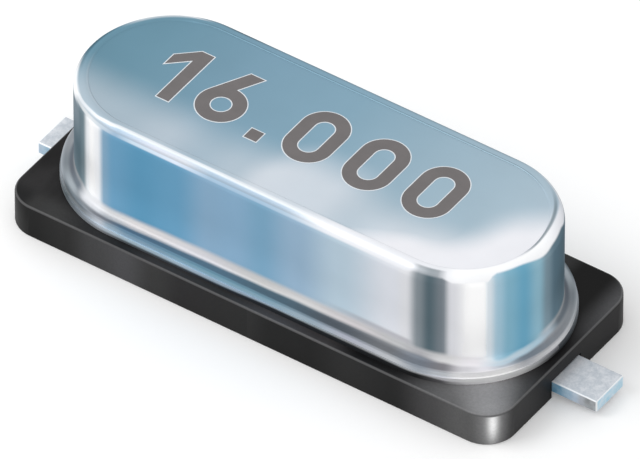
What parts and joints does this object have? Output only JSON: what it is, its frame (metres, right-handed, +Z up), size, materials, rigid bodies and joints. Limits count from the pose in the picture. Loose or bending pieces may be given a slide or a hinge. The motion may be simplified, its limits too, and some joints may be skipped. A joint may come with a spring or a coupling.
{
  "type": "crystal oscillator",
  "caption": "Low surface-mount quartz crystal in an obround drawn metal can, welded to a header on a black insulator plate, with flattened leads at both ends.",
  "frame": {"origin": "middle of the insulator plate's underside, which rests on the circuit board, midway between the two leads' centres in the header", "axes": "+X along the length towards the longer foot, +Y across the width, +Z up through the can's top"},
  "size_m": [0.0129, 0.0048, 0.0032],
  "materials": {
    "black_plastic": "fine satin moulded plastic",
    "header_steel": "satin nickel plate on pressed steel",
    "can_metal": "satin nickel plate on a drawn can",
    "seal_glass": "opaque dark green sealing glass",
    "lead_metal": "bright tin plate",
    "spring_metal": "plated spring strip",
    "quartz": "ground and etched clear quartz",
    "silver_film": "evaporated silver",
    "conductive_adhesive": "silver-filled epoxy"
  },
  "bodies": {
    "root": {"insulator": "black_plastic", "header": "header_steel", "can": "can_metal", "glass_seal_left": "seal_glass", "glass_seal_right": "seal_glass", "lead_left": "lead_metal", "lead_right": "lead_metal", "clip_left": "spring_metal", "clip_right": "spring_metal", "quartz_blank": "quartz", "electrode_front": "silver_film", "electrode_back": "silver_film", "adhesive_left": "conductive_adhesive", "adhesive_right": "conductive_adhesive"}
  },
  "joints": []
}
